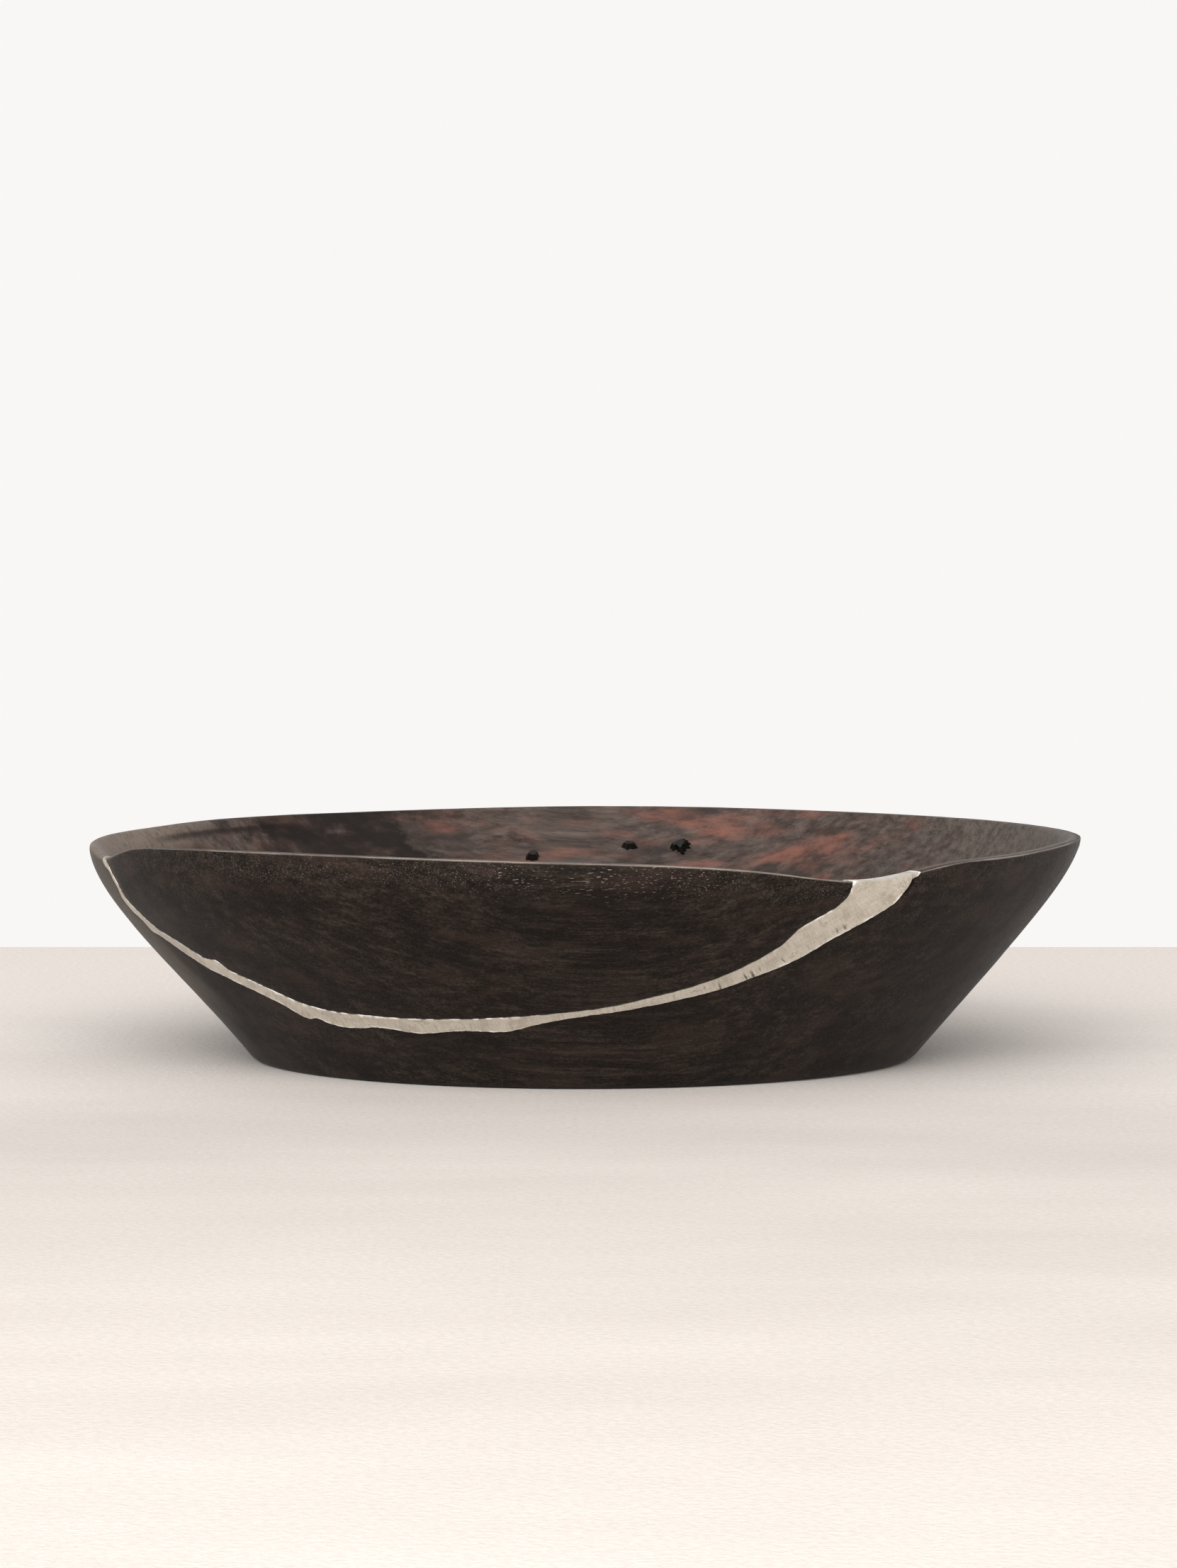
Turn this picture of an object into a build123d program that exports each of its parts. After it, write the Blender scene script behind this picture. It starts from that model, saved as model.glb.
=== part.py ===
from build123d import *
import math
import os

# A wide, shallow bowl carved from one piece of dark hardwood. Its front has split from rim to rim,
# and the split is filled with a cast pewter band that goes right through the wall. The band is
# keyed into both wood edges by a tongue, so it holds the crescent above it to the rest of the bowl.
# Three small knots in the back of the hollow are filled with black resin.
# Millimetres, +Z up, origin on the table under the middle of the rim. The split faces -Y.

# Outside of the bowl: height, radius, and how far the round stands off the axis in X.
outer_rounds = [
    (0.0, 133.4, -0.5),
    (14.0, 145.0, -1.1),
    (28.0, 157.4, -1.6),
    (42.0, 169.9, -1.9),
    (56.0, 181.7, -2.2),
    (68.0, 190.7, -2.3),
    (78.0, 196.4, -1.6),
    (88.0, 199.6, -0.5),
    (98.0, 200.8, 0.0),
]
foot_round = 1.5

# Hollow: radius and height of points from the middle of its floor to above the rim, the curve's
# direction at both ends, and its offset in X.
hollow_profile = [(0, 12), (75, 13), (122, 20.5), (157, 42), (183, 68), (194, 88), (197, 100)]
hollow_ends = [(1, 0), (0.2, 1)]
hollow_offset = -0.9

# Rim: angle from +X in degrees, and height of the wood there. It is low at both ends of the split.
rim_heights = [
    (-175, 86.9),
    (-167, 85.3),
    (-160, 84.2),
    (-154, 87.8),
    (-146, 90.3),
    (-130, 91.5),
    (-110, 91.2),
    (-90, 89.8),
    (-76, 87.6),
    (-68, 84.6),
    (-61, 81.6),
    (-54, 82.2),
    (-47, 85.9),
    (-38, 87.3),
    (-22, 89.0),
    (0, 89.5),
    (30, 89.8),
    (60, 90.4),
    (88, 91.0),
    (118, 89.8),
    (145, 89.0),
    (162, 87.7),
    (173, 87.3),
]
rim_round = 1.7
below_rim_edges = 75.0
rim_trim_inside = 150.0
rim_trim_outside = 225.0
rim_trim_height = 40.0

# Split: angle and height of its lower edge, then of its upper edge, on the outside of the wall.
split_edges = [
    (-163.0, 94.0, -161.2, 94.0),
    (-161.5, 79.9, -159.6, 80.3),
    (-160.9, 69.7, -158.7, 70.3),
    (-158.3, 59.6, -156.4, 60.2),
    (-152.7, 49.2, -149.9, 50.5),
    (-143.9, 38.9, -140.1, 40.3),
    (-135.1, 29.3, -132.5, 31.9),
    (-127.3, 23.7, -126.0, 29.0),
    (-116.5, 22.7, -115.6, 27.9),
    (-105.7, 23.6, -105.3, 28.6),
    (-96.4, 27.0, -96.2, 30.7),
    (-88.1, 31.0, -88.2, 33.7),
    (-80.0, 35.9, -80.6, 38.5),
    (-72.3, 41.5, -73.9, 44.5),
    (-65.8, 49.1, -68.8, 52.9),
    (-60.3, 58.7, -65.1, 62.1),
    (-55.6, 67.3, -62.1, 70.5),
    (-52.9, 76.9, -60.3, 78.5),
    (-51.4, 94.0, -60.4, 94.0),
]
band_outside = 6.0
band_inside = 26.0

# Tongue that keys the band into the wood, halfway through the wall. It stops short of the rim.
tongue_reach = 2.0
tongue_thickness = 2.0
tongue_first_row = 2
tongue_last_row = 16
wall_at = [(20.0, 13.3), (40.0, 10.0), (60.0, 7.3), (80.0, 5.3)]

# Knots in the back of the hollow, filled with resin: angle, height, half width and half height.
knots = {
    "knot_plug_left": (97.2, 68.8, 2.7, 2.2),
    "knot_plug_middle": (83.8, 73.3, 2.5, 1.4),
    "knot_plug_right": (76.9, 73.4, 3.9, 3.3),
}
knot_depth = 4.5
knot_proud = 2.0
knot_taper = 0.6


def between(table, at):
    """Straight-line value at a place in a table of (place, value) pairs."""
    for (low, first), (high, second) in zip(table, table[1:]):
        if at <= high or (high, second) == table[-1]:
            return first + (second - first) * (at - low) / (high - low)


def around(angle, radius, height, offset=0.0):
    """Point at an angle round the bowl."""
    turn = math.radians(angle)
    return Vector(offset + radius * math.cos(turn), radius * math.sin(turn), height)


def outside(angle, height):
    """Point on the outside of the wall."""
    radius = between([(z, r) for z, r, _ in outer_rounds], height)
    offset = between([(z, x) for z, _, x in outer_rounds], height)
    return around(angle, radius, height, offset)


def inside(angle, height):
    """Point on the wall of the hollow."""
    radius = between([(z, r) for r, z in hollow_profile], height)
    return around(angle, radius, height, hollow_offset)


def rim_ring(radius):
    """Closed curve at the height of the rim, at a radius."""
    with BuildLine() as ring:
        Spline([around(angle, radius, height) for angle, height in rim_heights], periodic=True)
    return ring.edge()


def across_split(row, reach, start, depth):
    """Section across the split, square to the wall: reach is how far it goes into the wood."""
    low_angle, low_height, high_angle, high_height = row
    low = outside(low_angle, low_height)
    high = outside(high_angle, high_height)
    across = (high - low).normalized()
    middle = (low + high) / 2
    up_wall = (outside(low_angle, middle.Z + 1) - outside(low_angle, middle.Z - 1)).normalized()
    round_wall = Vector(-middle.Y, middle.X, 0).normalized()
    inward = up_wall.cross(round_wall).normalized()
    inward = (inward - across * inward.dot(across)).normalized()
    centre = middle + inward * (start + depth / 2)
    with BuildSketch(Plane(centre, x_dir=across, z_dir=across.cross(inward))) as section:
        Rectangle((high - low).length + 2 * reach, depth)
    return section.sketch


def knot_space(angle, height, half_width, half_height):
    """Tapered hole at a knot, from clear of the hollow to its bottom in the wall."""
    place = inside(angle, height)
    round_wall = around(angle + 90, 1, 0)
    up_wall = (inside(angle, height + half_height) - inside(angle, height - half_height)).normalized()
    mouth = Plane(place, x_dir=round_wall, z_dir=up_wall.cross(round_wall))
    with BuildPart() as space:
        with BuildSketch(mouth.offset(-knot_proud)):
            Ellipse(half_width, half_height)
        with BuildSketch(mouth.offset(knot_depth)):
            Ellipse(half_width * knot_taper, half_height * knot_taper)
        loft()
    return space.part


# Bowl before the split, with its waved rim.
with BuildPart() as blank:
    for height, radius, offset in outer_rounds:
        with BuildSketch(Plane.XY.offset(height)):
            with Locations((offset, 0)):
                Circle(radius)
    loft()
    fillet(blank.faces().sort_by(Axis.Z)[0].edges(), foot_round)
    with BuildSketch(Plane.XZ.move(Location((hollow_offset, 0, 0)))):
        with BuildLine():
            hollow = Spline(hollow_profile, tangents=hollow_ends)
            Polyline(hollow @ 1, (0, hollow_profile[-1][1]), hollow @ 0)
        make_face()
    revolve(axis=Axis((hollow_offset, 0, 0), (0, 0, 1)), mode=Mode.SUBTRACT)
    over_rim = Face.make_surface_from_curves(rim_ring(rim_trim_inside), rim_ring(rim_trim_outside))
    extrude(over_rim, amount=rim_trim_height, dir=(0, 0, 1), mode=Mode.SUBTRACT)
    rim_edges = blank.edges().filter_by(lambda edge: edge.center().Z > below_rim_edges)
    fillet(rim_edges, rim_round)

# Space that the split takes out of the wall, and the tongue's slot in both of its edges.
with BuildPart() as split_space:
    for row in split_edges:
        add(across_split(row, 0, -band_outside, band_outside + band_inside))
    loft()
with BuildPart() as tongue_space:
    for row in split_edges[tongue_first_row : tongue_last_row + 1]:
        half_wall = between(wall_at, (row[1] + row[3]) / 2) / 2
        add(across_split(row, tongue_reach, half_wall - tongue_thickness / 2, tongue_thickness))
    loft()
knot_spaces = {name: knot_space(*knot) for name, knot in knots.items()}

# Pewter band with its tongue.
with BuildPart() as metal_seam:
    add(split_space.part)
    add(tongue_space.part)
    add(blank.part, mode=Mode.INTERSECT)

# Wood left when the split is open: the crescent above it, and the rest of the bowl.
with BuildPart() as split_wood:
    add(blank.part)
    add(split_space.part, mode=Mode.SUBTRACT)
    add(tongue_space.part, mode=Mode.SUBTRACT)
crescent, rest = split_wood.solids().sort_by(SortBy.VOLUME)

with BuildPart() as front_segment:
    add(crescent)

# Knot holes taper into the wall, and each one's filling is flush with the hollow.
with BuildPart() as bowl_body:
    add(rest)
    for space in knot_spaces.values():
        add(space, mode=Mode.SUBTRACT)

fillings = {}
for name, space in knot_spaces.items():
    with BuildPart() as filling:
        add(space)
        add(rest, mode=Mode.INTERSECT)
    filling.part.label = name
    fillings[name] = filling.part

bowl_body.part.label = "bowl_body"
front_segment.part.label = "front_segment"
metal_seam.part.label = "metal_seam"

os.makedirs("parts", exist_ok=True)
export_step(bowl_body.part, "parts/bowl_body.step")
export_step(front_segment.part, "parts/front_segment.step")
export_step(metal_seam.part, "parts/metal_seam.step")
for name, filling_part in fillings.items():
    export_step(filling_part, f"parts/{name}.step")
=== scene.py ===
import math

import bpy
import numpy as np
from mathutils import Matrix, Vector, noise
from mathutils.bvhtree import BVHTree
from mathutils.kdtree import KDTree


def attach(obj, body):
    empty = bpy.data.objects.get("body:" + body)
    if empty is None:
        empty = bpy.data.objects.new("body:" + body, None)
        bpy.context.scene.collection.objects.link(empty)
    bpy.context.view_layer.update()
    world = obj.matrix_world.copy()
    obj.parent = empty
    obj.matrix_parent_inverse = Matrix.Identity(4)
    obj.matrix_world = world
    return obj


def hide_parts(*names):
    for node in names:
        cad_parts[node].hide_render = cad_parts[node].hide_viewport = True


# A dark carved wooden bowl whose split front is filled with a cast metal band. The wall's curves
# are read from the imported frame, then carved finer: an uneven hand-worked surface, a worn rim,
# the band's ragged edges and the knots. Metres, +Z up, the split faces -Y.
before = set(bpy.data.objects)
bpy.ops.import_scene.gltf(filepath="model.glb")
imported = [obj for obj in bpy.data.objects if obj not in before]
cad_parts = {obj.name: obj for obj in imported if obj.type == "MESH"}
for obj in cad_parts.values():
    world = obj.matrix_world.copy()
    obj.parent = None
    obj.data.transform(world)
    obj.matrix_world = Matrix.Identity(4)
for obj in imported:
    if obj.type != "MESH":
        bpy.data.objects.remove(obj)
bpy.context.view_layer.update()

MM = 0.001


# ---------------------------------------------------------------- the bowl's curves, from the frame

def search_tree(*nodes):
    """Tree for casting rays at CAD nodes."""
    points = []
    faces = []
    for node in nodes:
        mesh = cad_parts[node].data
        first = len(points)
        points.extend(vertex.co.copy() for vertex in mesh.vertices)
        faces.extend([first + i for i in polygon.vertices] for polygon in mesh.polygons)
    return BVHTree.FromPolygons(points, faces)


CAD_BOWL = search_tree("bowl_body", "front_segment", "metal_seam")
FAR = 0.3


def cast(start, direction):
    """Point where a ray first meets the CAD bowl."""
    return CAD_BOWL.ray_cast(Vector(start), Vector(direction))[0]


def fitted(places, values, degree):
    """Smooth curve through readings of the CAD mesh, which evens out its facets."""
    return np.polynomial.Polynomial.fit(places, values, degree)


# The outside is read at the back, where the rim is highest. Above the last reading it goes on
# straight, at RIM_SLOPE of its lean there, because the rim's rounding pulls it in.
LOWEST_READ = 4 * MM
HIGHEST_READ = 86.5 * MM
RIM_SLOPE = 0.6
read_heights = np.arange(LOWEST_READ, HIGHEST_READ, 1.5 * MM)
back_reach = np.array([cast((0, FAR, z), (0, -1, 0)).y for z in read_heights])
right_reach = np.array([cast((FAR, 0, z), (-1, 0, 0)).x for z in read_heights])
outer_fit = fitted(read_heights, back_reach, 7)
outer_slope = outer_fit.deriv()
offset_fit = fitted(read_heights, right_reach - back_reach, 4)


def outer_radius(height):
    """Radius of the outside at a height, carried straight on above the readings."""
    read = np.clip(height, 0, HIGHEST_READ)
    return outer_fit(read) + (height - read) * RIM_SLOPE * outer_slope(HIGHEST_READ)


def outside(turn, height):
    """Point on the outside of the wall, straight out from the axis at an angle."""
    shift = offset_fit(np.clip(height, LOWEST_READ, HIGHEST_READ))
    radius = outer_radius(height)
    reach = shift * np.cos(turn) + np.sqrt(radius**2 - (shift * np.sin(turn)) ** 2)
    return np.stack([reach * np.cos(turn), reach * np.sin(turn), height + 0 * turn], -1)


def outward(turn, height):
    """Direction square to the outside of the wall."""
    lean = outer_slope(np.clip(height, 0, HIGHEST_READ)) + 0 * turn
    normal = np.stack([np.cos(turn), np.sin(turn), -lean], -1)
    return normal / np.linalg.norm(normal, axis=-1, keepdims=True)


# The hollow is round, so one curve from the middle of its floor to above the rim gives all of it.
MID_HEIGHT = 60 * MM
hollow_x = (cast((0, 0, MID_HEIGHT), (1, 0, 0)).x + cast((0, 0, MID_HEIGHT), (-1, 0, 0)).x) / 2
FLOOR_READ_FROM = -40 * MM
FLOOR_READ_TO = 148 * MM
WALL_READ_FROM = 38 * MM
WALL_READ_TO = 88 * MM
floor_radii = np.arange(FLOOR_READ_FROM, FLOOR_READ_TO, MM)
floor_heights = np.array([cast((hollow_x, r, FAR), (0, 0, -1)).z for r in floor_radii])
wall_heights = np.arange(WALL_READ_FROM, WALL_READ_TO, MM)
wall_radii = np.array([cast((hollow_x, 0, z), (0, 1, 0)).y for z in wall_heights])
HOLLOW_STEP = MM
HOLLOW_SPREAD = 5


def read_hollow():
    """Radius and height down the hollow, at even steps, from the axis outwards."""
    radii = np.concatenate([floor_radii, wall_radii])
    heights = np.concatenate([floor_heights, wall_heights])
    order = np.argsort(radii)
    radii, heights = radii[order], heights[order]
    lean = (radii[-1] - radii[-8]) / (heights[-1] - heights[-8])
    above = np.arange(1, 21) * MM
    radii = np.append(radii, radii[-1] + lean * above)
    heights = np.append(heights, heights[-1] + above)
    walked = np.concatenate([[0], np.cumsum(np.hypot(np.diff(radii), np.diff(heights)))])
    even = np.arange(0, walked[-1], HOLLOW_STEP)
    radii = np.interp(even, walked, radii)
    heights = np.interp(even, walked, heights)
    weights = np.exp(-0.5 * (np.arange(-15, 16) / HOLLOW_SPREAD) ** 2)
    weights /= weights.sum()
    radii = np.convolve(radii, weights, "valid")
    heights = np.convolve(heights, weights, "valid")
    outer_half = radii >= 0
    radii, heights = radii[outer_half], heights[outer_half]
    return np.concatenate([[0], radii]), np.concatenate([heights[:1], heights])


hollow_radii, hollow_heights = read_hollow()
hollow_steps = np.hypot(np.diff(hollow_radii), np.diff(hollow_heights))
hollow_walk = np.concatenate([[0], np.cumsum(hollow_steps)])


def hollow_point(turn, walk):
    """Point on the hollow at an angle, a distance along its curve from the middle of the floor."""
    radius = np.interp(walk, hollow_walk, hollow_radii)
    height = np.interp(walk, hollow_walk, hollow_heights)
    return np.stack([hollow_x + radius * np.cos(turn), radius * np.sin(turn), height], -1)


def hollow_walk_at(height):
    """Distance along the hollow's curve where its wall has a height."""
    wall = hollow_heights > WALL_READ_FROM / 2
    return np.interp(height, hollow_heights[wall], hollow_walk[wall])


RIM_READINGS = 360
RIM_WAVES = 30
RIM_GUESS = 86 * MM


def read_rim():
    """Height of the rim as a sum of waves round the bowl."""
    heights = []
    for turn in np.arange(RIM_READINGS) * 2 * np.pi / RIM_READINGS:
        height = RIM_GUESS
        for _ in range(3):
            inner = hollow_point(turn, hollow_walk_at(height))
            middle = (outside(turn, height) + inner) / 2
            height = cast((middle[0], middle[1], FAR), (0, 0, -1)).z
        heights.append(height)
    return np.fft.rfft(heights)[:RIM_WAVES] / RIM_READINGS


rim_waves = read_rim()


def rim_height(turn):
    """Height of the top of the rim at an angle."""
    height = np.full(np.shape(turn), rim_waves[0].real)
    for count in range(1, RIM_WAVES):
        wave = rim_waves[count]
        height = height + 2 * (wave.real * np.cos(count * turn) - wave.imag * np.sin(count * turn))
    return height


# ---------------------------------------------------------------- mesh helpers

def add_mesh(name, points, faces):
    """New mesh object at the origin."""
    mesh = bpy.data.meshes.new(name)
    mesh.from_pydata([tuple(point) for point in points], [], faces)
    mesh.update()
    obj = bpy.data.objects.new(name, mesh)
    bpy.context.scene.collection.objects.link(obj)
    return obj


def points_of(obj):
    """The object's vertices as an array."""
    flat = np.empty(len(obj.data.vertices) * 3)
    obj.data.vertices.foreach_get("co", flat)
    return flat.reshape(-1, 3)


def normals_of(obj):
    """The vertices' normals as an array."""
    flat = np.empty(len(obj.data.vertices) * 3)
    obj.data.vertex_normals.foreach_get("vector", flat)
    return flat.reshape(-1, 3)


def set_points(obj, points):
    """Moves the object's vertices."""
    obj.data.vertices.foreach_set("co", np.ascontiguousarray(points, dtype=np.float32).ravel())
    obj.data.update()


def combine(obj, other, operation):
    """Cuts, joins or intersects two closed meshes, and puts the result in the first."""
    modifier = obj.modifiers.new("combine", "BOOLEAN")
    modifier.operation = operation
    modifier.solver = "MANIFOLD"
    modifier.object = other
    depsgraph = bpy.context.evaluated_depsgraph_get()
    made = bpy.data.meshes.new_from_object(obj.evaluated_get(depsgraph))
    obj.modifiers.clear()
    obj.data = made


def remove(*objs):
    """Deletes scaffold objects."""
    for obj in objs:
        bpy.data.objects.remove(obj)


def bump(turn, middle, width):
    """Smooth rise to 1 at an angle in degrees, a width in degrees wide."""
    away = (np.degrees(turn) - middle + 180) % 360 - 180
    return np.exp(-((away / width) ** 2))


def ripple(points, size, seed):
    """Smooth noise from -1 to 1 at each point, with features of a size."""
    return np.array([noise.noise(Vector(point) / size + Vector((seed, 0, 0))) for point in points])


# ---------------------------------------------------------------- the carved shell

COLUMNS = 512
FOOT_ROUND = 2.2 * MM
FOOT_LIFT = 2.6 * MM
BASE_ROWS = 6
FOOT_ROWS = 4
WALL_ROWS = 62
CORNER_ROWS = 4
LAND_ROWS = 3
HOLLOW_ROWS = 74
RIM_TILT = 0.15 * MM
RIM_CORNER = 0.45 * MM
CARVED_DEPTH = 0.22 * MM


def bend(start, corner, end, rows):
    """Rows of points round a corner, without its two ends."""
    for share in (np.arange(rows) + 1) / (rows + 1):
        yield (1 - share) ** 2 * start + 2 * share * (1 - share) * corner + share**2 * end


def toward(start, end, distance):
    """Point a distance from start towards end."""
    gap = end - start
    return start + gap / np.linalg.norm(gap, axis=-1, keepdims=True) * distance[:, None]


def shell_rows(turn):
    """Rings of points from the middle of the base, up the outside and down the hollow."""
    level = rim_height(turn)
    softer_left = bump(turn, 178, 26)
    softer_right = bump(turn, 4, 16)
    outer_corner = RIM_CORNER + 3.4 * MM * softer_left + 0.5 * MM * softer_right
    inner_corner = RIM_CORNER + 7.0 * MM * softer_left + 1.6 * MM * softer_right
    tilt = RIM_TILT
    wide = inner_corner * 0.7

    foot_round = FOOT_ROUND + FOOT_LIFT * bump(turn, -38, 34)
    foot = outside(turn, 0 * turn) * [1, 1, 0]
    rows = [foot * share for share in np.linspace(0, 1, BASE_ROWS + 1)[1:-1]]
    foot_inside = toward(foot, foot * 0, foot_round)
    foot_above = outside(turn, foot_round)
    rows += [foot_inside, *bend(foot_inside, foot, foot_above, FOOT_ROWS)]

    outer_edge = outside(turn, level - tilt)
    wall_top = level - tilt - outer_corner
    for share in np.linspace(0, 1, WALL_ROWS):
        rows.append(outside(turn, foot_round + share * (wall_top - foot_round)))

    inner_edge = hollow_point(turn, hollow_walk_at(level) + wide)
    inner_edge[:, 2] = level
    land = np.linalg.norm(inner_edge - outer_edge, axis=-1)
    land_start = toward(outer_edge, inner_edge, np.minimum(outer_corner, 0.45 * land))
    land_end = toward(inner_edge, outer_edge, np.minimum(inner_corner, 0.45 * land))
    hollow_start = hollow_walk_at(level - inner_corner)
    rows += bend(rows[-1], outer_edge, land_start, CORNER_ROWS)
    rows += [land_start + (land_end - land_start) * s for s in np.linspace(0, 1, LAND_ROWS)]
    rows += bend(land_end, inner_edge, hollow_point(turn, hollow_start), CORNER_ROWS)
    for share in np.linspace(1, 0, HOLLOW_ROWS, endpoint=False) ** 1.15:
        rows.append(hollow_point(turn, hollow_start * share))
    return rows


def build_shell(name, proud):
    """Closed shell of the whole bowl, moved out from the wood's surface by proud."""
    turn = np.arange(COLUMNS) * 2 * np.pi / COLUMNS
    rows = shell_rows(turn)
    points = np.concatenate([[[0, 0, 0]], *rows, [hollow_point(0.0, 0.0)]])
    last = len(points) - 1
    ring = np.arange(COLUMNS)
    following = (ring + 1) % COLUMNS
    faces = [(0, int(1 + b), int(1 + a)) for a, b in zip(ring, following)]
    for row in range(len(rows) - 1):
        low = 1 + row * COLUMNS
        high = low + COLUMNS
        faces += [
            (int(low + a), int(low + b), int(high + b), int(high + a))
            for a, b in zip(ring, following)
        ]
    top = 1 + (len(rows) - 1) * COLUMNS
    faces += [(int(top + a), int(top + b), last) for a, b in zip(ring, following)]
    shell = add_mesh(name, points, faces)
    waves = 0.6 + 0.4 * ripple(points, 26 * MM, 3) + 0.22 * ripple(points, 9 * MM, 8)
    depth = CARVED_DEPTH * waves * np.clip(points[:, 2] / (6 * MM), 0, 1)
    set_points(shell, points + normals_of(shell) * (proud - depth)[:, None])
    return shell


# ---------------------------------------------------------------- the split and its metal band

# Edges of the metal band on the outside, from over the rim at the left, down and along the front,
# to over the rim at the right: degrees round the bowl and millimetres up.
LOWER_EDGE = [
    (-163.0, 94), (-161.8, 83.0), (-161.1, 80.8), (-159.8, 78.3), (-159.6, 75.5), (-159.4, 72.8),
    (-160.0, 67.6), (-159.6, 64.3), (-157.7, 59.1), (-157.1, 55.6), (-155.5, 54.2),
    (-151.5, 48.4), (-148.1, 43.1), (-144.1, 39.2), (-136.9, 31.5), (-131.8, 25.4),
    (-131.2, 25.8), (-128.9, 23.8), (-123.2, 22.9), (-121.5, 23.5), (-114.2, 22.0),
    (-107.4, 23.6), (-100.7, 23.9), (-96.6, 26.8), (-93.3, 28.8), (-84.1, 32.9),
    (-76.2, 37.7), (-72.4, 40.6), (-68.7, 44.8), (-63.3, 51.9), (-60.5, 57.7), (-54.5, 69.0),
    (-53.2, 72.0), (-52.3, 76.8), (-51.9, 79.5), (-51.8, 81.0), (-51.2, 82.0), (-51.3, 94),
]
UPPER_EDGE = [
    (-161.4, 94), (-161.0, 83.5), (-159.8, 81.9), (-159.1, 78.5), (-158.5, 73.0),
    (-158.4, 67.4), (-156.8, 62.7), (-155.7, 59.5), (-153.9, 56.5), (-150.7, 52.7),
    (-148.7, 49.8), (-146.4, 46.8), (-143.8, 46.2), (-142.9, 43.6), (-139.9, 40.2),
    (-136.0, 35.9), (-132.7, 32.2), (-127.3, 29.2), (-122.8, 28.4), (-115.5, 27.8),
    (-103.1, 28.9), (-93.3, 31.4), (-86.4, 34.2), (-81.0, 38.0), (-75.7, 42.3), (-71.3, 47.8),
    (-68.2, 53.1), (-66.3, 57.7), (-64.9, 63.4), (-63.2, 67.0), (-61.1, 71.4),
    (-59.9, 76.7), (-59.9, 80.8), (-60.6, 94),
]
STATIONS = 1000
TONGUE_STATIONS = 160
BAND_COLUMNS = 14
BAND_OUT = 6 * MM
BAND_IN = 26 * MM
BAND_PROUD = 0.08 * MM
BURR = 0.14 * MM
TRIM_PROUD = 0.22 * MM
TONGUE_REACH = 2 * MM
TONGUE_HALF = 1 * MM
WALL_AT = ([20, 40, 60, 80], [13.3, 10.0, 7.3, 5.3])
TONGUE_PLAY = 0.04 * MM
TONGUE_TOP = 76 * MM
GAP = 0.06 * MM

# The wood stands away from the band's lower edge at both its ends: how far, then the place of the
# gap and its reach as shares of the band's length.
LEFT_GAP = 1.9 * MM
LEFT_GAP_AT = (0.064, 0.026)
RIGHT_GAP = 2.3 * MM
RIGHT_GAP_AT = (0.958, 0.011)


def smooth_curve(corners, stations):
    """Even stations along a smooth curve on the outside, as angles and heights."""
    corners = np.array(corners) * [math.radians(1), MM]
    gaps = np.diff(outside(corners[:, 0], corners[:, 1]), axis=0)
    walked = np.concatenate([[0], np.cumsum(np.linalg.norm(gaps, axis=1))])
    slopes = np.gradient(corners, walked, axis=0)
    even = np.linspace(0, walked[-1], stations)
    step = np.clip(np.searchsorted(walked, even, "right") - 1, 0, len(walked) - 2)
    length = (walked[step + 1] - walked[step])[:, None]
    part = (even - walked[step])[:, None] / length
    return (
        (2 * part**3 - 3 * part**2 + 1) * corners[step]
        + (part**3 - 2 * part**2 + part) * length * slopes[step]
        + (3 * part**2 - 2 * part**3) * corners[step + 1]
        + (part**3 - part**2) * length * slopes[step + 1]
    )


def on_outside(points):
    """Angles and heights of points on the outside."""
    return np.stack([np.arctan2(points[:, 1], points[:, 0]), points[:, 2]], -1)


def read_split(stations):
    """Lower edge, upper edge and the inward direction at each station along the split."""
    low = smooth_curve(LOWER_EDGE, stations)
    high = smooth_curve(UPPER_EDGE, stations)
    low_points = outside(low[:, 0], low[:, 1])
    high_points = outside(high[:, 0], high[:, 1])
    gaps = np.linalg.norm(low_points[:, None] - high_points[None], axis=2)
    facing = np.maximum.accumulate(gaps.argmin(1)).astype(float)
    spread = stations // 30
    facing = np.pad(facing, spread, "linear_ramp", end_values=(0, stations - 1))
    facing[:spread], facing[-spread:] = 0, stations - 1
    facing = np.convolve(facing, np.ones(2 * spread + 1) / (2 * spread + 1), "valid")
    facing = (facing - facing[0]) * (stations - 1) / (facing[-1] - facing[0])
    order = np.arange(stations)
    high = np.stack([np.interp(facing, order, high[:, 0]), np.interp(facing, order, high[:, 1])], 1)
    middle = (low + high) / 2
    inward = -outward(middle[:, 0], np.minimum(middle[:, 1], HIGHEST_READ))
    return low_points, outside(high[:, 0], high[:, 1]), inward


def moved_apart(low, high, inward, low_by, high_by):
    """Both edges moved away from each other along the wall."""
    moved = []
    for edge, by, side in ((low, low_by, -1), (high, high_by, 1)):
        along = np.gradient(edge, axis=0)
        across = np.cross(along, inward) * side
        across /= np.linalg.norm(across, axis=1, keepdims=True)
        moved.append(edge + across * np.broadcast_to(by, len(edge))[:, None])
    return moved


def sweep(name, sections):
    """Closed mesh through a row of sections, each a closed loop of points."""
    count, size = sections.shape[:2]
    faces = [tuple(range(size)), tuple(range(count * size - 1, (count - 1) * size - 1, -1))]
    for row in range(count - 1):
        for i in range(size):
            j = (i + 1) % size
            a, b = row * size, (row + 1) * size
            faces.append((a + i, b + i, b + j, a + j))
    return add_mesh(name, sections.reshape(-1, 3), faces)


def block_between(name, low, high, inward, start, end):
    """Block between two edges, from one depth in the wall to another."""
    near, far = inward * start, inward * end
    return sweep(name, np.stack([low + near, high + near, high + far, low + far], 1))


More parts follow.
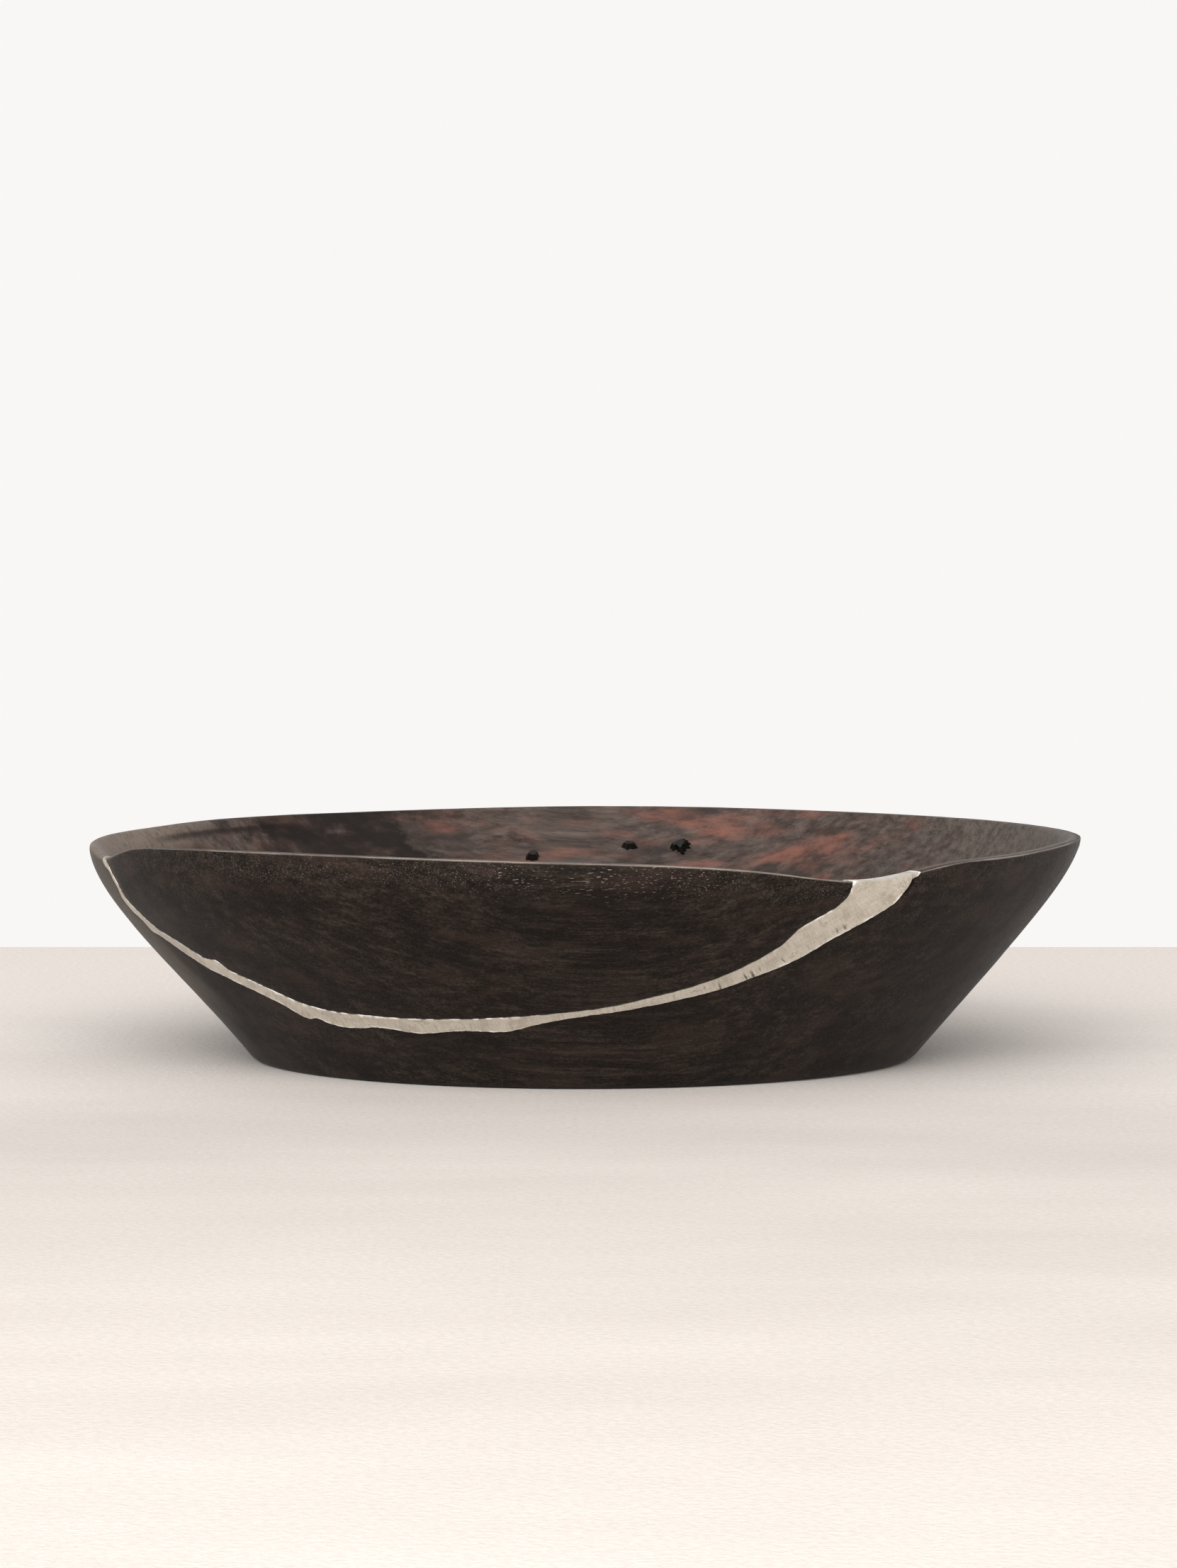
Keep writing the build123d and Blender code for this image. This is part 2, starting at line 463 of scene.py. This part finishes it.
def ragged_split():
    """The split's edges at fine stations, as ragged as the wood broke."""
    low, high, inward = read_split(STATIONS)
    low_rag = 0.24 * ripple(low, 2.6 * MM, 1) + 0.13 * ripple(low, 0.9 * MM, 2)
    high_rag = 0.2 * ripple(high, 3.2 * MM, 5) + 0.1 * ripple(high, 0.9 * MM, 6)
    return *moved_apart(low, high, inward, low_rag * MM, high_rag * MM), inward


def build_band(low, high, inward):
    """Metal between the edges, with a fine outer face: dents, and burrs along both edges."""
    share = np.linspace(0, 1, BAND_COLUMNS)
    low_place, high_place = on_outside(low), on_outside(high)
    place = low_place[:, None] + (high_place - low_place)[:, None] * share[None, :, None]
    outer = outside(place[..., 0], place[..., 1])
    face = outer.reshape(-1, 3)
    dents = 0.09 * ripple(face, 4.5 * MM, 11) + 0.035 * ripple(face, 1.6 * MM, 12)
    dents = dents.reshape(len(low), BAND_COLUMNS) * MM
    width = np.linalg.norm(high - low, axis=1)[:, None]
    from_edge = np.minimum(share, 1 - share)[None] * width
    raised = BURR * np.exp(-((from_edge / (0.45 * MM)) ** 2))
    raised *= 0.55 + 0.9 * ripple(low, 5 * MM, 14)[:, None]
    outer = outer - inward[:, None] * (BAND_PROUD + dents + raised)[..., None]
    inner = low[:, None] + (high - low)[:, None] * share[None, ::-1, None]
    inner = inner + inward[:, None] * BAND_IN
    return sweep("metal_seam_cast", np.concatenate([outer, inner], axis=1))


low, high, inward = ragged_split()
station = np.linspace(0, 1, STATIONS)
lower_gap = np.full(STATIONS, GAP)
for widest, (middle, reach) in ((LEFT_GAP, LEFT_GAP_AT), (RIGHT_GAP, RIGHT_GAP_AT)):
    lower_gap = lower_gap + widest * np.exp(-(((station - middle) / reach) ** 2))
wood_low, wood_high = moved_apart(low, high, inward, lower_gap, GAP)
wood_cut = block_between("cut", wood_low, wood_high, inward, -BAND_OUT, BAND_IN)

smooth_low, smooth_high, smooth_inward = read_split(TONGUE_STATIONS)
buried = np.minimum(smooth_low[:, 2], smooth_high[:, 2]) < TONGUE_TOP
smooth_low, smooth_high = smooth_low[buried], smooth_high[buried]
smooth_inward = smooth_inward[buried]


def tongue(name, play):
    """The tongue that keys the band into both wood edges, or its slot."""
    reach = TONGUE_REACH + play
    edges = moved_apart(smooth_low, smooth_high, smooth_inward, reach, reach)
    middle = np.interp((edges[0] + edges[1])[:, 2:] / (2 * MM), *WALL_AT) / 2 * MM
    half = TONGUE_HALF + play
    return block_between(name, *edges, smooth_inward, middle - half, middle + half)


wood = build_shell("bowl_body_carved", 0.0)
slot_cut = tongue("slot_cut", TONGUE_PLAY)
combine(wood, wood_cut, "DIFFERENCE")
combine(wood, slot_cut, "DIFFERENCE")

band = build_band(low, high, inward)
band_tongue = tongue("band_tongue", 0.0)
trim = build_shell("trim", TRIM_PROUD)
combine(band, band_tongue, "UNION")
combine(band, trim, "INTERSECT")
remove(wood_cut, slot_cut, band_tongue, trim)


# ---------------------------------------------------------------- knots filled with black resin

# Degrees round the bowl and height on the hollow, half width and half height, how ragged, seed.
KNOTS = {
    "knot_plug_left": (97.2, 68.8, 3.0, 1.8, 0.42, 21),
    "knot_plug_middle": (83.8, 73.3, 2.9, 1.3, 0.5, 27),
    "knot_plug_right": (76.9, 73.4, 3.8, 3.0, 0.6, 34),
}
KNOT_LEAST = 0.5
KNOT_POINTS = 64
KNOT_RINGS = 7
KNOT_DEPTH = 4.3 * MM
KNOT_PROUD = 2 * MM
KNOT_TAPER = 0.62
KNOT_PLAY = 0.03 * MM
KNOT_DISH = 0.3 * MM


def build_knot(name, knot, grown, top, dished):
    """Filling of a knot, or the hole for it: an uneven outline that narrows into the wall."""
    angle, height, half_width, half_height, ragged, seed = knot
    turn = math.radians(angle)
    walk = hollow_walk_at(height * MM)
    place = hollow_point(turn, walk)
    up = hollow_point(turn, walk + MM) - place
    up /= np.linalg.norm(up)
    side = np.array([-math.sin(turn), math.cos(turn), 0])
    into = np.cross(up, side)
    round_it = np.arange(KNOT_POINTS) * 2 * np.pi / KNOT_POINTS
    circle = np.stack([np.cos(round_it), np.sin(round_it), 0 * round_it], -1)
    reach = 1 + ragged * (ripple(circle, 0.9, seed) + 0.9 * ripple(circle, 0.3, seed + 1))
    reach = np.maximum(reach, KNOT_LEAST)
    flat = np.stack([circle[:, 0] * half_width, circle[:, 1] * half_height], -1) * MM
    flat = flat * reach[:, None] + circle[:, :2] * grown
    points = [place - into * top + into * dished]
    for share in np.arange(1, KNOT_RINGS + 1) / KNOT_RINGS:
        level = -top + dished * (1 - share**4)
        ring = flat * share
        points.extend(place + ring[:, :1] * side + ring[:, 1:] * up + into * level)
    bottom = flat * KNOT_TAPER
    depth = KNOT_DEPTH + grown
    points.extend(place + bottom[:, :1] * side + bottom[:, 1:] * up + into * depth)
    points.append(place + into * depth)
    ring = np.arange(KNOT_POINTS)
    following = (ring + 1) % KNOT_POINTS
    faces = [(0, int(1 + a), int(1 + b)) for a, b in zip(ring, following)]
    for row in range(KNOT_RINGS):
        low_row, high_row = 1 + row * KNOT_POINTS, 1 + (row + 1) * KNOT_POINTS
        faces += [
            (int(low_row + a), int(high_row + a), int(high_row + b), int(low_row + b))
            for a, b in zip(ring, following)
        ]
    last_row = 1 + KNOT_RINGS * KNOT_POINTS
    faces += [
        (int(last_row + a), len(points) - 1, int(last_row + b)) for a, b in zip(ring, following)
    ]
    return add_mesh(name, points, faces)


plugs = {}
for name, knot in KNOTS.items():
    hole = build_knot("hole", knot, KNOT_PLAY, KNOT_PROUD, 0.0)
    combine(wood, hole, "DIFFERENCE")
    remove(hole)
    plugs[name] = build_knot(name + "_resin", knot, 0.0, 0.0, KNOT_DISH)


def part_loose(obj):
    """Splits an object into its loose parts, biggest first."""
    bpy.ops.object.select_all(action="DESELECT")
    bpy.context.view_layer.objects.active = obj
    obj.select_set(True)
    bpy.ops.object.mode_set(mode="EDIT")
    bpy.ops.mesh.select_all(action="SELECT")
    bpy.ops.mesh.separate(type="LOOSE")
    bpy.ops.object.mode_set(mode="OBJECT")
    parts = sorted(bpy.context.selected_objects, key=lambda part: -len(part.data.vertices))
    bpy.ops.object.select_all(action="DESELECT")
    return parts


body, segment, *crumbs = part_loose(wood)
remove(*crumbs)
body.name = "bowl_body_carved"
segment.name = "front_segment_carved"


# ---------------------------------------------------------------- values for the finishes

SMOOTH_BELOW = math.radians(38)
BASE_TOP = 9 * MM
FLOOR_TOP = 11.9 * MM


def add_values(obj, **named):
    """Stores one number per vertex under each name, for the materials to read."""
    for name, values in named.items():
        attribute = obj.data.attributes.new(name, "FLOAT", "POINT")
        attribute.data.foreach_set("value", np.asarray(values, dtype=np.float32))


def wood_values(obj):
    """How far each vertex is below the rim, how far out in the wall, and how near the rim's edges,
    for wear and a painted highlight.
    """
    points = points_of(obj)
    turn = np.arctan2(points[:, 1], points[:, 0])
    level = rim_height(turn)
    reach = np.hypot(points[:, 0], points[:, 1])
    outer = np.linalg.norm(outside(turn, points[:, 2])[:, :2], axis=1)
    wall = hollow_heights > FLOOR_TOP
    hollow = np.interp(points[:, 2], hollow_heights[wall], hollow_radii[wall])
    out = np.clip((reach - hollow) / np.maximum(outer - hollow, MM), 0, 1)
    out[points[:, 2] < BASE_TOP] = 1
    outer_line = outside(turn, level - RIM_TILT - 0.2 * MM)
    inner_turn = np.arctan2(points[:, 1], points[:, 0] - hollow_x)
    inner_line = hollow_point(inner_turn, hollow_walk_at(level))
    inner_line[:, 2] = level
    near_outer = np.linalg.norm(points - outer_line, axis=1)
    near_inner = np.linalg.norm(points - inner_line, axis=1)
    # Nearness to the rim's edges, for pale wear and a painted highlight there.
    worn = np.exp(-((near_outer / (0.5 * MM)) ** 2))
    worn = worn + 0.8 * np.exp(-((near_inner / (0.6 * MM)) ** 2))
    add_values(obj, below_rim=level - points[:, 2], outer=out, worn=np.clip(worn, 0, 1))


def band_values(obj):
    """Where each vertex is along and across the band, and how near its edge."""
    points = points_of(obj)
    middle = (low + high) / 2
    tree = KDTree(len(middle))
    for index, place in enumerate(middle):
        tree.insert(place, index)
    tree.balance()
    nearest = np.array([tree.find(point)[1] for point in points])
    walked = np.concatenate([[0], np.cumsum(np.linalg.norm(np.diff(middle, axis=0), axis=1))])
    gap = (high - low)[nearest]
    width = np.linalg.norm(gap, axis=1)
    across = ((points - low[nearest]) * gap).sum(1) / width
    from_edge = np.minimum(across, width - across)
    add_values(
        obj,
        along=walked[nearest],
        across=across,
        burr=np.exp(-((np.clip(from_edge, 0, 1) / (0.5 * MM)) ** 2)),
        below_rim=rim_height(np.arctan2(points[:, 1], points[:, 0])) - points[:, 2],
    )


def smooth(obj):
    """Smooth shading with crisp edges."""
    obj.data.shade_smooth()
    obj.data.set_sharp_from_angle(angle=SMOOTH_BELOW)


for piece in (body, segment):
    wood_values(piece)
band_values(band)
for piece in (body, segment, band, *plugs.values()):
    smooth(piece)


# ---------------------------------------------------------------- finishes

def paint(red, green, blue):
    """Linear colour from screen values of 0 to 255."""
    screen = [value / 255 for value in (red, green, blue)]
    linear = [v / 12.92 if v <= 0.04045 else ((v + 0.055) / 1.055) ** 2.4 for v in screen]
    return (*linear, 1.0)


class Finish:
    """Material with short ways to add the nodes that the finishes below use."""

    def __init__(self, name):
        self.material = bpy.data.materials.new(name)
        self.material.use_nodes = True
        self.tree = self.material.node_tree
        self.shader = self.tree.nodes["Principled BSDF"]

    def node(self, kind, settings=None, **inputs):
        """Adds a node; inputs are numbers, colours or other nodes' sockets."""
        made = self.tree.nodes.new("ShaderNode" + kind)
        for name, value in (settings or {}).items():
            setattr(made, name, value)
        for name, value in inputs.items():
            self.set(made.inputs[name.replace("_", " ")], value)
        return made

    def set(self, socket, value):
        """Gives a socket a value or a link."""
        if isinstance(value, bpy.types.NodeSocket):
            self.tree.links.new(value, socket)
        else:
            socket.default_value = value

    def surface(self, **inputs):
        """Sets the main shader's inputs."""
        for name, value in inputs.items():
            self.set(self.shader.inputs[name.replace("_", " ")], value)

    def value(self, name):
        """A number stored on the mesh."""
        return self.node("Attribute", {"attribute_name": name}).outputs["Fac"]

    def calc(self, operation, first, second=0.0, third=0.0):
        """Arithmetic on two or three numbers."""
        made = self.node("Math", {"operation": operation})
        for socket, value in zip(made.inputs, (first, second, third)):
            self.set(socket, value)
        return made.outputs["Value"]

    def place(self):
        """Position on the object."""
        return self.node("TexCoord").outputs["Object"]

    def stretched(self, vector, scale):
        """The vector times a scale for each axis."""
        return self.node("Mapping", Vector=vector, Scale=scale).outputs["Vector"]

    def cloud(self, vector, scale=1.0, detail=3.0, roughness=0.55):
        """Noise from about 0.2 to 0.8."""
        made = self.node("TexNoise", Vector=vector, Scale=scale, Detail=detail, Roughness=roughness)
        return made.outputs["Fac"]

    def step(self, value, start, end, low=0.0, high=1.0):
        """Smooth rise from low to high as the value goes from start to end."""
        made = self.node("MapRange", {"interpolation_type": "SMOOTHSTEP"})
        for name, number in (
            ("Value", value),
            ("From Min", start),
            ("From Max", end),
            ("To Min", low),
            ("To Max", high),
        ):
            self.set(made.inputs[name], number)
        return made.outputs["Result"]

    def ramp(self, value, *stops):
        """Colours along a value; each stop is its place and its paint."""
        made = self.node("ValToRGB", Fac=value)
        elements = made.color_ramp.elements
        while len(elements) < len(stops):
            elements.new(0.5)
        for element, (place, colour) in zip(elements, stops):
            element.position = place
            element.color = colour
        return made.outputs["Color"]

    def blend(self, share, first, second):
        """Mix of two colours."""
        made = self.node("Mix", {"data_type": "RGBA"})
        self.set(made.inputs[0], share)
        self.set(made.inputs[6], first)
        self.set(made.inputs[7], second)
        return made.outputs[2]

    def relief(self, height, depth, strength=1.0, over=None):
        """Fine relief too small to model."""
        made = self.node("Bump", Height=height, Distance=depth, Strength=strength)
        if over is not None:
            self.set(made.inputs["Normal"], over)
        return made.outputs["Normal"]


def ebonised_wood():
    """Dark waxed wood with its grain along X: redder in the hollow, pale along the rim from wear
    and a painted highlight.
    """
    f = Finish("ebonised_wood")
    place = f.place()
    drift = f.node("TexNoise", Vector=place, Scale=9.0, Detail=1.0).outputs["Color"]
    bent = f.node("VectorMath", {"operation": "MULTIPLY_ADD"})
    f.set(bent.inputs[0], drift)
    f.set(bent.inputs[1], (0.0, 0.02, 0.02))
    f.set(bent.inputs[2], place)
    bent = bent.outputs["Vector"]
    streak = f.cloud(f.stretched(bent, (16, 330, 330)), detail=5.0, roughness=0.6)
    fibre = f.cloud(f.stretched(bent, (75, 1500, 1500)), detail=3.0, roughness=0.7)
    pore = f.cloud(f.stretched(bent, (300, 4000, 4000)), detail=1.0)
    speck = f.cloud(place, scale=900.0, detail=2.0, roughness=0.6)
    patch = f.cloud(f.stretched(bent, (24, 56, 130)), detail=5.0, roughness=0.5)
    blotch = f.cloud(f.stretched(place, (26, 60, 60)), detail=5.0, roughness=0.66)
    across, back, _ = f.node("SeparateXYZ", Vector=place).outputs
    wavy = f.calc("MULTIPLY_ADD", f.calc("SUBTRACT", blotch, 0.5), 0.22, across)

    outer = f.step(f.value("outer"), 0.25, 0.75)
    below = f.value("below_rim")
    worn = f.value("worn")

    # Nearly black outside.
    tone = f.calc("MULTIPLY_ADD", fibre, 0.5, f.calc("MULTIPLY", streak, 0.5))
    tone = f.calc("MULTIPLY_ADD", f.calc("SUBTRACT", speck, 0.5), 0.3, tone)
    dark = f.ramp(
        tone, (0.34, paint(12, 9, 7)), (0.5, paint(30, 24, 20)), (0.66, paint(56, 47, 41))
    )
    dark = f.blend(f.step(blotch, 0.44, 0.62, 0.0, 0.55), dark, paint(17, 13, 11))
    dark = f.blend(f.step(patch, 0.5, 0.68, 0.0, 0.3), dark, paint(56, 42, 36))

    # Softer and lighter in the hollow: red patches in its middle, painted shade on the left, and a
    # paler right end that is partly the wood's grey tone and partly a painted reflection.
    soft_tone = f.calc("MULTIPLY_ADD", streak, 0.7, f.calc("MULTIPLY", fibre, 0.3))
    hollow = f.ramp(
        soft_tone, (0.32, paint(46, 39, 36)), (0.5, paint(73, 63, 58)), (0.68, paint(96, 84, 78))
    )
    hollow = f.blend(f.step(blotch, 0.47, 0.62, 0.0, 0.6), hollow, paint(46, 40, 38))
    red = f.calc("MULTIPLY", f.step(wavy, -0.08, 0.02, 0.3, 1.0), f.step(wavy, 0.145, 0.09))
    red = f.calc("MULTIPLY", red, f.step(patch, 0.44, 0.72, 0.0, 0.8))
    red = f.calc("MULTIPLY", red, f.step(soft_tone, 0.34, 0.56, 0.55, 1.0))
    hollow = f.blend(red, hollow, paint(125, 82, 70))
    shaded = f.calc("MULTIPLY", f.step(wavy, -0.05, -0.08), f.step(wavy, -0.165, -0.12))
    shaded = f.calc("MULTIPLY", shaded, f.step(back, 0.04, 0.13, 0.25, 1.0))
    shaded = f.calc("MULTIPLY", shaded, f.step(patch, 0.7, 0.42, 0.55, 0.9))
    hollow = f.blend(shaded, hollow, paint(30, 25, 23))
    # Paler right end of the hollow: partly the wood's grey tone, partly a painted reflection.
    pale_end_and_reflection = f.calc("MULTIPLY", f.step(wavy, 0.12, 0.18), f.step(tone, 0.36, 0.6, 0.1, 0.6))
    hollow = f.blend(pale_end_and_reflection, hollow, paint(106, 97, 90))
    colour = f.blend(outer, hollow, dark)

    # Pale dust in the pores below the rim, and the rim's edges made pale: partly wear, partly a
    # painted highlight.
    dust = f.calc("MULTIPLY", f.step(pore, 0.66, 0.73), f.step(below, 0.004, 0.016, 0.9, 0.1))
    dust = f.calc("MULTIPLY", dust, f.step(blotch, 0.38, 0.6, 0.25, 1.0))
    colour = f.blend(f.calc("MULTIPLY", dust, outer), colour, paint(150, 138, 128))
    worn_and_highlit_edges = f.calc("MULTIPLY", f.step(worn, 0.45, 0.9), f.step(blotch, 0.3, 0.62, 0.4, 1.0))
    colour = f.blend(worn_and_highlit_edges, colour, paint(140, 129, 119))

    # At the left end: a greyer strip of painted sheen on the outside beside the band, a worn rim,
    # and a dark line of painted shade under it.
    # Painted sheen: the outside is made greyer along the left silhouette, standing in for light
    # caught at a grazing angle.
    painted_sheen_strip = f.calc("MULTIPLY", f.step(across, -0.13, -0.16, 0.0, 0.5), outer)
    painted_sheen_strip = f.calc("MULTIPLY", painted_sheen_strip, f.step(back, -0.078, -0.066))
    painted_sheen_strip = f.calc("MULTIPLY", painted_sheen_strip, f.step(back, 0.06, -0.03))
    colour = f.blend(painted_sheen_strip, colour, paint(92, 82, 73))
    left_rim = f.calc("MULTIPLY", f.step(across, -0.15, -0.185), f.step(below, 0.014, 0.006))
    left_rim = f.calc("MULTIPLY", left_rim, f.step(tone, 0.34, 0.56, 0.3, 0.9))
    left_rim = f.calc("MULTIPLY", left_rim, f.step(f.value("outer"), 0.98, 0.9))
    colour = f.blend(left_rim, colour, paint(124, 111, 99))
    # Painted shade: a dark line in the hollow under the left rim, where no crease is modelled.
    painted_shade_line = f.calc("MULTIPLY", f.step(below, 0.003, 0.0045), f.step(below, 0.0075, 0.005))
    painted_shade_line = f.calc("MULTIPLY", painted_shade_line, f.step(across, -0.115, -0.15, 0.0, 0.75))
    painted_shade_line = f.calc("MULTIPLY", painted_shade_line, f.step(across, -0.185, -0.17))
    painted_shade_line = f.calc("MULTIPLY", painted_shade_line, f.step(f.value("outer"), 0.3, 0.1))
    colour = f.blend(painted_shade_line, colour, paint(26, 21, 19))

    shine = f.calc("MULTIPLY_ADD", streak, 0.2, f.calc("MULTIPLY_ADD", blotch, 0.2, 0.32))
    grain = f.relief(fibre, 0.00016, 0.6)
    grain = f.relief(f.step(pore, 0.34, 0.42), 0.0002, 0.5, over=grain)
    grain = f.relief(speck, 0.00012, 0.5, over=grain)
    f.surface(
        Base_Color=colour,
        Roughness=shine,
        Specular_IOR_Level=0.07,
        Sheen_Weight=0.07,
        Sheen_Roughness=0.15,
        Normal=grain,
    )
    return f.material


def cast_pewter():
    """Soft pale metal, smoothed by rubbing, with a painted glint on the raised burrs and dark
    hairlines along its edges.
    """
    f = Finish("cast_pewter")
    along, across = f.value("along"), f.value("across")
    on_band = f.node("CombineXYZ", X=along, Y=across).outputs["Vector"]
    place = f.place()
    from_left = f.node("SeparateXYZ", Vector=place).outputs["X"]
    along_it = f.cloud(f.stretched(on_band, (70, 2200, 1)), detail=4.0, roughness=0.65)
    over_it = f.cloud(f.stretched(on_band, (2600, 160, 1)), detail=4.0, roughness=0.7)
    brushed = f.calc("MULTIPLY_ADD", over_it, 0.6, f.calc("MULTIPLY", along_it, 0.4))
    cloudy = f.cloud(place, scale=120.0, detail=5.0, roughness=0.6)
    pit = f.cloud(place, scale=1500.0, detail=2.0)
    breaks = f.cloud(f.stretched(on_band, (190, 0, 0)), detail=2.0)
    cracks = f.cloud(f.stretched(on_band, (700, 60, 1)), detail=1.0)
    colour = f.ramp(
        cloudy,
        (0.35, paint(206, 198, 184)),
        (0.5, paint(222, 215, 202)),
        (0.65, paint(234, 228, 216)),
    )
    colour = f.blend(f.step(brushed, 0.48, 0.62, 0.0, 0.3), colour, paint(150, 139, 122))
    colour = f.blend(f.step(brushed, 0.46, 0.36, 0.0, 0.8), colour, paint(250, 247, 240))
    stain = f.calc("MULTIPLY", f.step(cloudy, 0.56, 0.68), f.step(pit, 0.4, 0.6, 0.1, 0.5))
    colour = f.blend(stain, colour, paint(120, 102, 80))
    hairline = f.calc("MULTIPLY", f.step(cracks, 0.61, 0.67), f.step(across, 0.006, 0.002))
    hairline = f.calc("MULTIPLY", hairline, f.step(from_left, 0.02, 0.06, 0.15, 0.8))
    colour = f.blend(hairline, colour, paint(70, 62, 54))
    # Painted glint: near-white colour on the raised burrs along the edges, standing in for a
    # highlight.
    burr = f.calc("MULTIPLY", f.value("burr"), f.step(breaks, 0.44, 0.52))
    colour = f.blend(burr, colour, paint(252, 250, 245))
    # Darker towards the left end of the band.
    darker_left_end = f.step(from_left, -0.14, -0.16, 0.0, 0.45)
    colour = f.blend(darker_left_end, colour, paint(140, 130, 116))
    shine = f.calc("MULTIPLY_ADD", brushed, 0.35, 0.2)
    relief = f.relief(brushed, 0.0001, 0.5)
    relief = f.relief(pit, 0.00012, 0.3, over=relief)
    # Less metallic where the glint is painted, so that it shows white.
    metal = f.calc("MULTIPLY_ADD", burr, -0.6, 1.0)
    f.surface(Base_Color=colour, Metallic=metal, Roughness=shine, Normal=relief)
    return f.material


def black_resin():
    """Glossy black filling."""
    f = Finish("black_resin")
    cloudy = f.cloud(f.place(), scale=420.0, detail=3.0)
    colour = f.ramp(cloudy, (0.4, paint(6, 7, 6)), (0.65, paint(22, 23, 19)))
    f.surface(
        Base_Color=colour,
        Roughness=f.step(cloudy, 0.4, 0.7, 0.1, 0.3),
        Specular_IOR_Level=0.55,
        Normal=f.relief(cloudy, 0.0003, 0.4),
    )
    return f.material


def pale_floor():
    """Matt pale ground, a little lighter further back and round the bowl: painted light that
    offsets the bowl's shadow.
    """
    f = Finish("pale_floor")
    place = f.place()
    depth = f.node("SeparateXYZ", Vector=place).outputs["Y"]
    cloudy = f.cloud(f.stretched(place, (4, 9, 1)), detail=5.0, roughness=0.6)
    near = f.ramp(cloudy, (0.3, paint(202, 194, 187)), (0.7, paint(212, 204, 197)))
    middle = f.ramp(cloudy, (0.3, paint(224, 216, 209)), (0.7, paint(232, 224, 217)))
    # Painted light and shade: darker in front, lighter round and behind the bowl, evening out the
    # lamp's pool in front and the bowl's shadow on the floor.
    colour = f.blend(f.step(depth, -0.3, -0.1), near, middle)
    colour = f.blend(f.step(depth, 0.0, 0.5), colour, paint(236, 227, 219))
    sand = f.cloud(place, scale=420.0, detail=3.0, roughness=0.7)
    colour = f.blend(f.step(sand, 0.3, 0.7, 0.25, 0.0), colour, paint(170, 160, 152))
    rough = f.relief(sand, 0.0006, 0.6)
    f.surface(Base_Color=colour, Roughness=0.85, Specular_IOR_Level=0.2, Normal=rough)
    return f.material


wood_finish = ebonised_wood()
resin = black_resin()
for piece, finish in (
    (body, wood_finish),
    (segment, wood_finish),
    (band, cast_pewter()),
    *((plug, resin) for plug in plugs.values()),
):
    piece.data.materials.clear()
    piece.data.materials.append(finish)

for piece, node, slot in (
    (body, "bowl_body", "wood"),
    (segment, "front_segment", "wood"),
    (band, "metal_seam", "cast_metal"),
    *((plug, name, "knot_resin") for name, plug in plugs.items()),
):
    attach(piece, "root")
    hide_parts(node)

# ---------------------------------------------------------------- stage, light and camera

FLOOR_BACK = 0.557
FLOOR_FRONT = -2.6
FLOOR_HALF = 3.0

floor = add_mesh(
    "floor",
    [
        (-FLOOR_HALF, FLOOR_FRONT, 0),
        (FLOOR_HALF, FLOOR_FRONT, 0),
        (FLOOR_HALF, FLOOR_BACK, 0),
        (-FLOOR_HALF, FLOOR_BACK, 0),
    ],
    [(0, 1, 2, 3)],
)
floor.data.materials.append(pale_floor())

world = bpy.data.worlds.new("studio")
bpy.context.scene.world = world
world.use_nodes = True
sky = world.node_tree
background = sky.nodes["Background"]
direction = sky.nodes.new("ShaderNodeTexCoord").outputs["Generated"]
height = sky.nodes.new("ShaderNodeSeparateXYZ")
sky.links.new(direction, height.inputs["Vector"])
fade = sky.nodes.new("ShaderNodeValToRGB")
sky.links.new(height.outputs["Z"], fade.inputs["Fac"])
fade.color_ramp.elements[0].position = 0.2
fade.color_ramp.elements[0].color = paint(249, 247, 245)
fade.color_ramp.elements[1].position = 0.55
fade.color_ramp.elements[1].color = paint(216, 216, 217)
sky.links.new(fade.outputs["Color"], background.inputs["Color"])


def soft_light(name, place, target, size, power):
    """Square area light that points at a target."""
    data = bpy.data.lights.new(name, "AREA")
    data.energy = power
    data.size = size
    lamp = bpy.data.objects.new(name, data)
    lamp.location = place
    lamp.rotation_euler = (Vector(target) - Vector(place)).to_track_quat("-Z", "Y").to_euler()
    bpy.context.scene.collection.objects.link(lamp)


soft_light("window", place=(-0.3, -2.8, 1.2), target=(0, 0, 0.03), size=2.4, power=132)

camera_data = bpy.data.cameras.new("camera")
camera_data.lens = 113.96
camera_data.sensor_width = 36
camera = bpy.data.objects.new("camera", camera_data)
camera.location = (MM, -2.0, 0.2)
camera.rotation_euler = (math.radians(87.409), 0, 0)
bpy.context.scene.collection.objects.link(camera)
bpy.context.scene.camera = camera
bpy.context.scene.view_settings.view_transform = "Standard"
